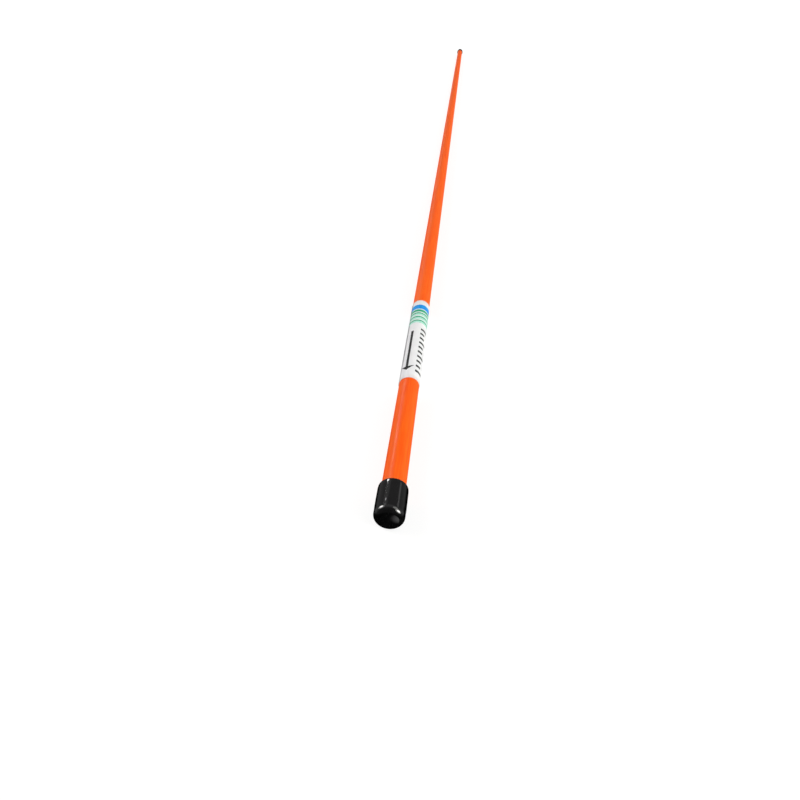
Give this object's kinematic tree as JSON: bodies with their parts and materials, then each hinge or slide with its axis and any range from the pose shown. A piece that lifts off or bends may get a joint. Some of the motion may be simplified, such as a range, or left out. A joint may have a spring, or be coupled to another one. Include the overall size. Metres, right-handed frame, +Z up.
{
  "type": "golf alignment stick",
  "caption": "Slim round orange fibreglass rod laid on the ground to show aim, with black push-on end caps and a white wrap label near one end.",
  "frame": {"origin": "on the ground under the middle of the stick, with the stick lying on its two caps", "axes": "+Y along the stick from the labelled end to the far end, +Z up"},
  "size_m": [0.01, 1.2222, 0.01],
  "materials": {
    "orange_fibreglass": "satin",
    "black_vinyl": "gloss",
    "white_film": "satin"
  },
  "bodies": {
    "stick": {"rod": "orange_fibreglass", "label": "white_film"},
    "near_cap": {"near_cap": "black_vinyl"},
    "far_cap": {"far_cap": "black_vinyl"}
  },
  "joints": [
    {"name": "near_cap_pull", "type": "slide", "parent": "stick", "child": "near_cap", "axis": [0, -1, 0], "range_m": [0, 0.02]},
    {"name": "far_cap_pull", "type": "slide", "parent": "stick", "child": "far_cap", "axis": [0, 1, 0], "range_m": [0, 0.02]}
  ]
}
